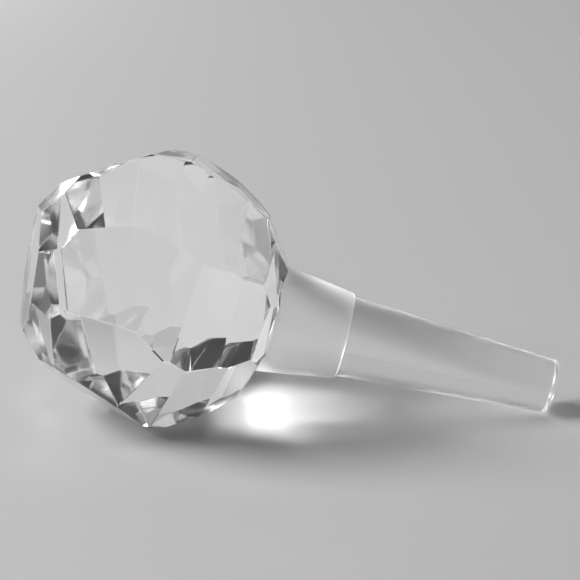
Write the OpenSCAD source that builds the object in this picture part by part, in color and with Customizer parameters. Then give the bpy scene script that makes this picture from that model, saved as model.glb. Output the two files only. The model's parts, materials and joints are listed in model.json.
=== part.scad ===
/* [Ball] */
// Diameter of the ball that the depths of the facets are counted from
ball_d = 52; // [46:0.5:60]
// Facets in each ring round the ball
ring_facets = 8; // [6:1:9]
// Depth of the flat facet at the ball's free end
end_cut = 2.9; // [2:0.1:3.5]
// Depth of the flat under the collar
collar_cut = 2.4; // [1.5:0.1:3.5]
// Depth of the flat that the stopper lies on
rest_cut = 1.05; // [0.3:0.05:1.2]
// Lean of the facet pattern off the stopper's axis, up from the surface, as hand cutting leaves it
pattern_lean = 4; // [0:0.5:10]
// Swing of the facet pattern off the stopper's axis, to the side
pattern_swing = 6; // [0:0.5:10]
// Height of the facet pattern's centre above the stopper's axis
pattern_rise = 0.6; // [0:0.05:1]

/* [Facet rings, from the free end to the collar] */
// Angle between the pattern's axis and the normals of ring 1
ring_1_angle = 38.5; // [35.5:0.5:41.5]
// Turn of ring 1 round that axis, counted from straight down
ring_1_turn_angle = 10; // [-30:0.5:30]
// Depth of the facets of ring 1
ring_1_cut = 0.95; // [0.65:0.05:1.25]
// Angle between the pattern's axis and the normals of ring 2
ring_2_angle = 65; // [62:0.5:68]
// Turn of ring 2 round that axis, counted from straight down
ring_2_turn_angle = 20.5; // [-30:0.5:30]
// Depth of the facets of ring 2
ring_2_cut = 2.6; // [2.3:0.05:2.9]
// Angle between the pattern's axis and the normals of ring 3
ring_3_angle = 89.5; // [86.5:0.5:92.5]
// Turn of ring 3 round that axis, counted from straight down
ring_3_turn_angle = 11; // [-30:0.5:30]
// Depth of the facets of ring 3
ring_3_cut = 1; // [0.7:0.05:1.3]
// Angle between the pattern's axis and the normals of ring 4
ring_4_angle = 113.5; // [110.5:0.5:116.5]
// Turn of ring 4 round that axis, counted from straight down
ring_4_turn_angle = 6.5; // [-30:0.5:30]
// Depth of the facets of ring 4
ring_4_cut = 1.4; // [1.1:0.05:1.7]
// Angle between the pattern's axis and the normals of ring 5
ring_5_angle = 126; // [123:0.5:129]
// Turn of ring 5 round that axis, counted from straight down
ring_5_turn_angle = 4.5; // [-30:0.5:30]
// Depth of the facets of ring 5
ring_5_cut = 1.25; // [0.95:0.05:1.55]
// Angle between the pattern's axis and the normals of ring 6
ring_6_angle = 149.5; // [146.5:0.5:152.5]
// Turn of ring 6 round that axis, counted from straight down
ring_6_turn_angle = -7; // [-30:0.5:30]
// Depth of the facets of ring 6
ring_6_cut = 0.9; // [0.6:0.05:1.2]

/* [Collar] */
// Diameter of the collar where it grows out of the ball
collar_root_d = 20.6; // [18:0.1:24]
// Diameter of the collar at its shoulder
collar_end_d = 16.5; // [16.2:0.1:18]
// Length of the collar, from its root to the shoulder
collar_len = 13.6; // [10:0.1:18]
// Radius of the rounding round the shoulder
shoulder_round = 0.4; // [0.1:0.05:0.5]

/* [Ground plug] */
// Large diameter of the ground taper
plug_big_d = 15.5; // [13:0.1:15.8]
// Small diameter of the ground taper
plug_small_d = 10.1; // [8:0.1:12]
// Length of the ground plug
plug_len = 40.8; // [30:0.2:50]
// Radius of the rounding round the plug's end
plug_round = 0.8; // [0.4:0.05:1.5]

/* [Hidden] */
$fn = 96;

ball_r = ball_d / 2;
glass = [0.88, 0.91, 0.91];

// Distances along the axis, from the ball's centre towards the plug
collar_root = ball_r - collar_cut;
shoulder_at = collar_root + collar_len;
tip_at = shoulder_at + plug_len;

// Half angle of the collar's cone, and its end deep inside the ball
collar_slope = atan((collar_root_d - collar_end_d) / 2 / collar_len);
collar_sink = collar_root / 5;
collar_deep_r = collar_root_d / 2 + collar_sink * tan(collar_slope);

// Half angle of the ground taper
plug_slope = atan((plug_big_d - plug_small_d) / 2 / plug_len);

// Lying at rest: the ball's rest flat and the lowest point of the plug's rounded end touch the surface
rest_height = ball_r - pattern_rise - rest_cut;
tip_arc_r = plug_small_d / 2 - plug_round * (1 / cos(plug_slope) - tan(plug_slope));
tip_arc_at = tip_at - plug_round;
rest_tilt = asin((rest_height - plug_round) / norm([tip_arc_at, tip_arc_r])) - atan(tip_arc_r / tip_arc_at);

// Block that holds everything below a plane, which lies at a given distance from the centre
module block_below(distance) {
    block = 3 * ball_d;
    translate([-block / 2, -block / 2, distance - block])
        cube(block);
}

// What one facet leaves of the ball
module facet(angle, turn, cut_depth) {
    rotate([0, 0, 180 + turn])
        rotate([0, angle, 0])
            block_below(ball_r - cut_depth);
}

// What one ring of equal facets leaves of the ball
module facet_ring(angle, turn, cut_depth) {
    intersection_for(i = [0 : ring_facets - 1])
        facet(angle, turn + i * 360 / ring_facets, cut_depth);
}

// The facet pattern, its free end up
module facet_pattern() {
    intersection() {
        facet(0, 0, end_cut);
        facet_ring(ring_1_angle, ring_1_turn_angle, ring_1_cut);
        facet_ring(ring_2_angle, ring_2_turn_angle, ring_2_cut);
        facet_ring(ring_3_angle, ring_3_turn_angle, ring_3_cut);
        facet_ring(ring_4_angle, ring_4_turn_angle, ring_4_cut);
        facet_ring(ring_5_angle, ring_5_turn_angle, ring_5_cut);
        facet_ring(ring_6_angle, ring_6_turn_angle, ring_6_cut);
    }
}

// The ball as the stopper lies, cut all over with flat facets
module cut_ball() {
    intersection() {
        translate([0, 0, pattern_rise])
            rotate([0, rest_tilt - 90 - pattern_lean, pattern_swing])
                facet_pattern();
        rotate([0, 90 + rest_tilt, 0])
            block_below(collar_root);
        rotate([180, 0, 0])
            block_below(rest_height);
    }
}

// Centre of the circle that rounds a cone's far edge, tangent to its flank and to the flat end at height top
function arc_centre(end_r, top, round_r, slope) =
    [end_r - round_r * (1 / cos(slope) - tan(slope)), top - round_r];

// Cone frustum in profile, its far edge rounded
module rounded_frustum(near_r, near_at, far_r, far_at, round_r) {
    slope = atan((near_r - far_r) / (far_at - near_at));
    centre = arc_centre(far_r, far_at, round_r, slope);
    polygon([
        [0, near_at],
        [near_r, near_at],
        [centre[0] + round_r * cos(slope), centre[1] + round_r * sin(slope)],
        [centre[0], far_at],
        [0, far_at]
    ]);
    translate(centre) circle(round_r);
}

// Collar and ground plug, turned about the axis and pointing up
module collar_and_plug() {
    rotate_extrude() {
        rounded_frustum(collar_deep_r, collar_root - collar_sink, collar_end_d / 2, shoulder_at, shoulder_round);
        rounded_frustum(plug_big_d / 2, shoulder_at - shoulder_round, plug_small_d / 2, tip_at, plug_round);
    }
}

module stopper() {
    color(glass)
        translate([0, 0, rest_height]) {
            cut_ball();
            rotate([0, 90 + rest_tilt, 0])
                collar_and_plug();
        }
}

stopper();
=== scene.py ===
"""Looks of the cut-glass stopper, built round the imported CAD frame."""
import json
import math
import random

import bmesh
import bpy
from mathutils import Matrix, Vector


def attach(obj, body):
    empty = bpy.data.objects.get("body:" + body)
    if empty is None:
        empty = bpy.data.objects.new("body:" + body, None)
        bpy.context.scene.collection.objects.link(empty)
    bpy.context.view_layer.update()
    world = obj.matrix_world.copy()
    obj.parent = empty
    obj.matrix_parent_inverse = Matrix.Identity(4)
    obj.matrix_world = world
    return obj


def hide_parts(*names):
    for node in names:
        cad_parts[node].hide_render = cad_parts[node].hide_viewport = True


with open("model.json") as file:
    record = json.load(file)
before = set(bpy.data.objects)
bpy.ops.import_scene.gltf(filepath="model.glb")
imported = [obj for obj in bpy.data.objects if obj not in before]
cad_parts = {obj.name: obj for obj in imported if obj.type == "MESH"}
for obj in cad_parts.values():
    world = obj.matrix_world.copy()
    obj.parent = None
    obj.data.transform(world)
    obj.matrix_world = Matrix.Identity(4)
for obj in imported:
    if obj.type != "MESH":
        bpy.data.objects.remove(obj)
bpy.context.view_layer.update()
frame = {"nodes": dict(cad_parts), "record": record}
scene = bpy.context.scene

MM = 0.001

# Distances from the ball's centre along the stopper's axis: past the flat that the collar grows out
# of and short of the collar's next points, and where the turned collar starts, inside the ball
BALL_END = 24.5 * MM
COLLAR_START = 18 * MM

# The ball's facets in the CAD mesh: how deep they lie, counted from the ball's centre, how little two
# faces of one facet may differ in normal and in depth, and the area that slivers don't reach
DEPTH_MIN = 20 * MM
DEPTH_MAX = 27 * MM
SAME_NORMAL = 0.001
SAME_DEPTH = 0.02 * MM
AREA_MIN = 0.2 * MM * MM

# The worn flat along each edge between two facets: its width, the shares of it that chance picks
# from, the smallest angle between facets that counts as an edge, and how near a cut snaps to a point
EDGE_WIDTH = 0.25 * MM
EDGE_SHARE_MIN = 0.5
EDGE_SHARE_MAX = 1.3
EDGE_SEED = 7
EDGE_ANGLE_MIN = math.radians(3)
CUT_SNAP = 1e-8

# The turned collar and plug: steps round the axis, decimals of a millimetre that places along it are
# rounded to, the gap below which outline points are one, how many earlier points are looked back at,
# how far a face may lie before the shoulder and still be on the plug, and the widest smooth edge
TURN_STEPS = 256
POINT_DIGITS = 2
POINT_GAP = 0.03 * MM
RECENT_POINTS = 3
SHOULDER_SLACK = 0.02 * MM
SMOOTH_ANGLE = math.radians(14)

# Places of two finishes among the piece's materials: the polished one, at 0, is the facets'
SATIN = 1
GROUND = 2

# Finishes of the glass: roughness, share of the light let through, and size and depth of the unevenness
GLASS_IOR = 1.53
POLISH_ROUGHNESS = 0.04
POLISH_SHARE = 1.0
WAVE_SIZE = 12 * MM
WAVE_DEPTH = 0.01 * MM
WAVE_DETAIL = 1
SATIN_ROUGHNESS = 0.28
SATIN_SHARE = 0.82
SATIN_SIZE = 3 * MM
SATIN_DEPTH = 0.02 * MM
SATIN_DETAIL = 3
GROUND_ROUGHNESS = 0.16
GROUND_SHARE = 0.85
RING_SIZE = 0.35 * MM
RING_DEPTH = 0.005 * MM
GRAIN_SIZE = 0.2 * MM
GRAIN_DEPTH = 0.01 * MM
GROUND_DETAIL = 2

# The table top: its size, its tone, a lighter tone where it is seen through the glass (painted light
# standing in for brighter light on the table behind the ball), roughness and specular level
FLOOR_SIZE = 1.2
FLOOR_TONE = 0.512
FLOOR_TONE_PAINTED_LIGHT_IN_GLASS = 0.635
FLOOR_ROUGHNESS = 0.7
FLOOR_SPECULAR = 0.1

# Surroundings: level behind the stopper and in front of it, shares of it on the right and overhead,
# and the parts of a unit direction between which each change takes place
BACK_LEVEL = 0.57
FRONT_LEVEL = 0.03
FRONT_START = -0.1
FRONT_END = -0.7
RIGHT_SHARE = 0.12
RIGHT_START = 0.4
RIGHT_END = 0.85
TOP_SHARE = 0.4
TOP_START = 0.25
TOP_END = 0.8

# Lamps: place, width and height, and watts, and the point that they face
KEY_PLACE = (-0.93, 0.01, 0.87)
KEY_SIZE = (0.85, 0.5)
KEY_POWER = 20.3
CARD_PLACE = (-0.125, 0.37, 0.045)
CARD_SIZE = (0.09, 0.07)
CARD_POWER = 0.08
LAMP_AIM = (0, 0, 0.02)

# Camera: direction, distance to the ball's centre, offset from it, and lens and sensor in millimetres
CAMERA_AZIMUTH = math.radians(-0.26)
CAMERA_ELEVATION = math.radians(19.1)
CAMERA_RANGE = 0.7
CAMERA_RIGHT = 25.82 * MM
CAMERA_DOWN = 0.3 * MM
LENS = 231.7531
SENSOR_WIDTH = 36

# Light paths through the glass: most bounces in all and off mirrors, and the cap on indirect light
GLASS_BOUNCES = 24
MIRROR_BOUNCES = 12
CLAMP = 60

# The stopper's axis points to the plug's tip, and the ball's centre is its point above the origin
taper = next(m for m in frame["record"]["mounts"] if m["name"] == "ground_taper")
axis = Vector(taper["axis"]).normalized()
shoulder = Vector(taper["pos_m"])
ball_centre = Vector((0, 0, shoulder.z - axis.z / axis.x * shoulder.x))
shoulder_at = (shoulder - ball_centre).length


# ---------------------------------------------------------------- shader nodes
def noise(nodes, links, point, size, detail):
    """Height of a noise pattern whose waves are about the given size."""
    pattern = nodes.new("ShaderNodeTexNoise")
    pattern.inputs["Scale"].default_value = 1 / size
    pattern.inputs["Detail"].default_value = detail
    links.new(point, pattern.inputs["Vector"])
    return pattern.outputs["Fac"]


def bump(nodes, links, height, depth, under=None):
    """Normal of a surface bumped to a given depth, on top of another bump if one is given."""
    node = nodes.new("ShaderNodeBump")
    node.inputs["Distance"].default_value = depth
    links.new(height, node.inputs["Height"])
    if under is not None:
        links.new(under, node.inputs["Normal"])
    return node.outputs["Normal"]


def object_point(nodes):
    return nodes.new("ShaderNodeTexCoord").outputs["Object"]


def smooth_step(nodes, links, value, start, end, first, last):
    """A level that goes smoothly from first to last as the value goes from start to end."""
    step = nodes.new("ShaderNodeMapRange")
    step.interpolation_type = "SMOOTHSTEP"
    step.inputs["From Min"].default_value = start
    step.inputs["From Max"].default_value = end
    step.inputs["To Min"].default_value = first
    step.inputs["To Max"].default_value = last
    links.new(value, step.inputs["Value"])
    return step.outputs["Result"]


def product(nodes, links, one, two):
    node = nodes.new("ShaderNodeMath")
    node.operation = "MULTIPLY"
    links.new(one, node.inputs[0])
    links.new(two, node.inputs[1])
    return node.outputs["Value"]


# ---------------------------------------------------------------- materials
def painted(name):
    """A new material, with its nodes, links and shader."""
    mat = bpy.data.materials.new(name)
    mat.use_nodes = True
    nodes = mat.node_tree.nodes
    return mat, nodes, mat.node_tree.links, nodes["Principled BSDF"]


def glass(name, roughness, share):
    """Glass of a given roughness and share of light let through, with its nodes, links and shader."""
    mat, nodes, links, shader = painted(name)
    shader.inputs["Base Color"].default_value = (share, share, share, 1)
    shader.inputs["Roughness"].default_value = roughness
    shader.inputs["IOR"].default_value = GLASS_IOR
    shader.inputs["Transmission Weight"].default_value = 1
    return mat, nodes, links, shader


def polished_glass():
    """The facets, polished by hand: clear, and very slightly wavy."""
    mat, nodes, links, shader = glass("polished_glass", POLISH_ROUGHNESS, POLISH_SHARE)
    waves = noise(nodes, links, object_point(nodes), WAVE_SIZE, WAVE_DETAIL)
    links.new(bump(nodes, links, waves, WAVE_DEPTH), shader.inputs["Normal"])
    return mat


def satin_glass():
    """The collar, between clear and matt."""
    mat, nodes, links, shader = glass("satin_glass", SATIN_ROUGHNESS, SATIN_SHARE)
    waves = noise(nodes, links, object_point(nodes), SATIN_SIZE, SATIN_DETAIL)
    links.new(bump(nodes, links, waves, SATIN_DEPTH), shader.inputs["Normal"])
    return mat


def ground_glass():
    """The ground taper: matt, with fine grain and the faint rings that grinding leaves."""
    mat, nodes, links, shader = glass("ground_glass", GROUND_ROUGHNESS, GROUND_SHARE)
    point = object_point(nodes)
    along_axis = nodes.new("ShaderNodeVectorMath")
    along_axis.operation = "DOT_PRODUCT"
    along_axis.inputs[1].default_value = axis
    links.new(point, along_axis.inputs[0])
    ring_point = nodes.new("ShaderNodeCombineXYZ")
    links.new(along_axis.outputs["Value"], ring_point.inputs["X"])
    rings = noise(nodes, links, ring_point.outputs["Vector"], RING_SIZE, GROUND_DETAIL)
    grain = noise(nodes, links, point, GRAIN_SIZE, GROUND_DETAIL)
    ringed = bump(nodes, links, rings, RING_DEPTH)
    links.new(bump(nodes, links, grain, GRAIN_DEPTH, ringed), shader.inputs["Normal"])
    return mat


def table_paint():
    """The pale table top, with painted light: a little lighter where it is seen through the glass,
    standing in for brighter light on the table behind the ball.
    """
    mat, nodes, links, shader = painted("floor_paint")
    shader.inputs["Roughness"].default_value = FLOOR_ROUGHNESS
    shader.inputs["Specular IOR Level"].default_value = FLOOR_SPECULAR
    path = nodes.new("ShaderNodeLightPath")
    tone = nodes.new("ShaderNodeMapRange")
    tone.inputs["To Min"].default_value = FLOOR_TONE
    # Painted light: rays that reach the table through the glass see the lighter tone
    tone.inputs["To Max"].default_value = FLOOR_TONE_PAINTED_LIGHT_IN_GLASS
    links.new(path.outputs["Is Transmission Ray"], tone.inputs["Value"])
    links.new(tone.outputs["Result"], shader.inputs["Base Color"])
    return mat


# ---------------------------------------------------------------- the stopper
def along(point):
    """How far a point lies from the ball's centre along the axis, towards the plug."""
    return (point - ball_centre).dot(axis)


def off_axis(point):
    """How far a point lies from the axis."""
    return (point - ball_centre - axis * along(point)).length


def mesh_from(bm, name):
    """A mesh with the given name, made from a bmesh that isn't needed any more."""
    mesh = bpy.data.meshes.new(name)
    bm.to_mesh(mesh)
    bm.free()
    return mesh


def facet_planes(mesh):
    """The planes of the ball's facets in the CAD mesh, as (normal, depth from the ball's centre)."""
    planes = []
    for poly in mesh.polygons:
        middle = Vector(poly.center)
        if along(middle) > BALL_END:
            continue
        normal = Vector(poly.normal)
        depth = (middle - ball_centre).dot(normal)
        if not DEPTH_MIN < depth < DEPTH_MAX:
            continue
        for plane in planes:
            if (plane[0] - normal).length < SAME_NORMAL and abs(plane[1] - depth) < SAME_DEPTH:
                plane[2] += poly.area
                break
        else:
            planes.append([normal, depth, poly.area])
    return [(normal, depth) for normal, depth, area in planes if area > AREA_MIN]


def cut(bm, normal, depth):
    """Cuts the convex solid off at a plane and closes it again."""
    place = ball_centre + normal * depth
    parts = bm.verts[:] + bm.edges[:] + bm.faces[:]
    done = bmesh.ops.bisect_plane(
        bm, geom=parts, dist=CUT_SNAP, plane_co=place, plane_no=normal, clear_outer=True
    )
    rim = [e for e in done["geom_cut"] if isinstance(e, bmesh.types.BMEdge)]
    if len(rim) > 2:
        bmesh.ops.edgenet_fill(bm, edges=rim)


def worn_planes(bm):
    """Planes, as (normal, depth), that wear each edge between facets to a flat of uneven width."""
    bm.normal_update()
    wear = random.Random(EDGE_SEED)
    planes = []
    for edge in bm.edges:
        one, two = (f.normal for f in edge.link_faces)
        angle = one.angle(two)
        if angle < EDGE_ANGLE_MIN:
            continue
        width = EDGE_WIDTH * wear.uniform(EDGE_SHARE_MIN, EDGE_SHARE_MAX)
        normal = (one + two).normalized()
        edge_depth = (edge.verts[0].co - ball_centre).dot(normal)
        planes.append((normal, edge_depth - width / 2 * math.tan(angle / 2)))
    return planes


def faceted_ball(mesh):
    """The ball: a block cut down by the planes of its facets, with worn edges."""
    bm = bmesh.new()
    block_size = 4 * DEPTH_MAX
    bmesh.ops.create_cube(bm, size=block_size)
    bmesh.ops.translate(bm, verts=bm.verts, vec=ball_centre)
    for normal, depth in facet_planes(mesh):
        cut(bm, normal, depth)
    for normal, depth in worn_planes(bm):
        cut(bm, normal, depth)
    return mesh_from(bm, "ball")


def turned_outline(mesh):
    """Outline of the collar and plug in the CAD mesh, as (distance along the axis, radius).

    It runs from inside the ball to the tip. Of two points at one distance, the wider comes first.
    """
    places = [(round(along(v.co) / MM, POINT_DIGITS), -off_axis(v.co) / MM) for v in mesh.vertices]
    points = []
    for at_mm, minus_radius_mm in sorted(places):
        at = at_mm * MM
        radius = -minus_radius_mm * MM
        if at <= BALL_END:
            continue
        recent = points[-RECENT_POINTS:]
        if all(abs(p[0] - at) + abs(p[1] - radius) >= POINT_GAP for p in recent):
            points.append((at, radius))
    (at_1, radius_1), (at_2, radius_2) = points[:2]
    slope = (radius_1 - radius_2) / (at_2 - at_1)
    return [(COLLAR_START, radius_1 + slope * (at_1 - COLLAR_START))] + points


def ring(bm, at, radius):
    """Points round the axis, which has no Y part, at a given distance along it and from it."""
    side = Vector((0, 1, 0))
    other = axis.cross(side)
    turns = [2 * math.pi * step / TURN_STEPS for step in range(TURN_STEPS)]
    arms = [side * math.cos(turn) + other * math.sin(turn) for turn in turns]
    return [bm.verts.new(ball_centre + axis * at + arm * radius) for arm in arms]


def turned_body(mesh):
    """The collar and plug, turned finely from their outline in the CAD mesh."""
    bm = bmesh.new()
    rings = [ring(bm, at, radius) for at, radius in turned_outline(mesh)]
    for near, far in zip(rings, rings[1:]):
        for step in range(TURN_STEPS):
            after = (step + 1) % TURN_STEPS
            bm.faces.new((near[step], near[after], far[after], far[step]))
    bm.faces.new(rings[0])
    bm.faces.new(rings[-1])
    bmesh.ops.recalc_face_normals(bm, faces=bm.faces)
    for face in bm.faces:
        on_plug = along(face.calc_center_median()) > shoulder_at - SHOULDER_SLACK
        face.smooth = len(face.verts) == 4
        face.material_index = GROUND if on_plug else SATIN
    return mesh_from(bm, "turned")


def join(piece, other):
    """Makes the piece one closed solid with the other object, which goes."""
    union = piece.modifiers.new("join", "BOOLEAN")
    union.operation = "UNION"
    union.solver = "EXACT"
    union.object = other
    bpy.context.view_layer.update()
    joined = piece.evaluated_get(bpy.context.evaluated_depsgraph_get())
    mesh = bpy.data.meshes.new_from_object(joined)
    mesh.name = piece.name
    piece.modifiers.clear()
    piece.data = mesh
    bpy.data.objects.remove(other)


def mark_sharp_edges(mesh):
    """Keeps shading smooth over shallow edges only."""
    bm = bmesh.new()
    bm.from_mesh(mesh)
    for edge in bm.edges:
        edge.smooth = len(edge.link_faces) == 2 and edge.calc_face_angle() < SMOOTH_ANGLE
    bm.to_mesh(mesh)
    bm.free()


def stopper_piece(node):
    """Ball, collar and plug as one closed solid, which stands for the CAD node."""
    finishes = (polished_glass(), satin_glass(), ground_glass())
    parts = []
    for name, mesh in (("stopper_glass", faceted_ball(node.data)), ("turned", turned_body(node.data))):
        for finish in finishes:
            mesh.materials.append(finish)
        part = bpy.data.objects.new(name, mesh)
        scene.collection.objects.link(part)
        parts.append(part)
    piece, body = parts
    join(piece, body)
    mark_sharp_edges(piece.data)
    return piece


# ---------------------------------------------------------------- the setting
def table():
    """The plain table top that the stopper lies on."""
    bpy.ops.mesh.primitive_plane_add(size=FLOOR_SIZE, location=(0, 0, 0))
    floor = bpy.context.object
    floor.name = "floor"
    floor.data.materials.append(table_paint())


def surroundings():
    """Soft light from all round, dimmer in front, on the right and overhead."""
    world = bpy.data.worlds.new("world")
    world.use_nodes = True
    nodes, links = world.node_tree.nodes, world.node_tree.links
    coord = nodes.new("ShaderNodeTexCoord")
    way = nodes.new("ShaderNodeSeparateXYZ")
    links.new(coord.outputs["Generated"], way.inputs[0])
    depth, side, height = way.outputs["Y"], way.outputs["X"], way.outputs["Z"]
    front = smooth_step(nodes, links, depth, FRONT_END, FRONT_START, FRONT_LEVEL, BACK_LEVEL)
    top = smooth_step(nodes, links, height, TOP_START, TOP_END, 1, TOP_SHARE)
    right = smooth_step(nodes, links, side, RIGHT_START, RIGHT_END, 1, RIGHT_SHARE)
    level = product(nodes, links, product(nodes, links, front, top), right)
    background = nodes["Background"]
    background.inputs["Color"].default_value = (1, 1, 1, 1)
    links.new(level, background.inputs["Strength"])
    scene.world = world


def lamp(name, place, size, power):
    """A rectangular soft lamp that faces the stopper."""
    data = bpy.data.lights.new(name, "AREA")
    data.shape = "RECTANGLE"
    data.size, data.size_y = size
    data.energy = power
    made = bpy.data.objects.new(name, data)
    made.location = place
    made.rotation_euler = (Vector(LAMP_AIM) - Vector(place)).to_track_quat("-Z", "Y").to_euler()
    scene.collection.objects.link(made)


def camera():
    """The camera, at the angle that the picture was taken from."""
    across = math.cos(CAMERA_ELEVATION)
    drop = math.sin(CAMERA_ELEVATION)
    look = Vector((math.sin(CAMERA_AZIMUTH) * across, math.cos(CAMERA_AZIMUTH) * across, -drop))
    right = Vector((math.cos(CAMERA_AZIMUTH), -math.sin(CAMERA_AZIMUTH), 0))
    down = look.cross(right)
    data = bpy.data.cameras.new("camera")
    data.sensor_width = SENSOR_WIDTH
    data.lens = LENS
    made = bpy.data.objects.new("camera", data)
    made.location = ball_centre - look * CAMERA_RANGE + right * CAMERA_RIGHT + down * CAMERA_DOWN
    made.rotation_euler = look.to_track_quat("-Z", "Y").to_euler()
    scene.collection.objects.link(made)
    scene.camera = made


def light_paths():
    """Enough bounces for light to find its way out of the ball."""
    scene.cycles.max_bounces = GLASS_BOUNCES
    scene.cycles.transmission_bounces = GLASS_BOUNCES
    scene.cycles.glossy_bounces = MIRROR_BOUNCES
    scene.cycles.blur_glossy = 0
    scene.cycles.sample_clamp_indirect = CLAMP


piece = stopper_piece(frame["nodes"]["stopper"])
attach(piece, "root")
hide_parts("stopper")

table()
surroundings()
lamp("key", KEY_PLACE, KEY_SIZE, KEY_POWER)
lamp("card", CARD_PLACE, CARD_SIZE, CARD_POWER)
camera()
light_paths()
scene.view_settings.view_transform = "Standard"
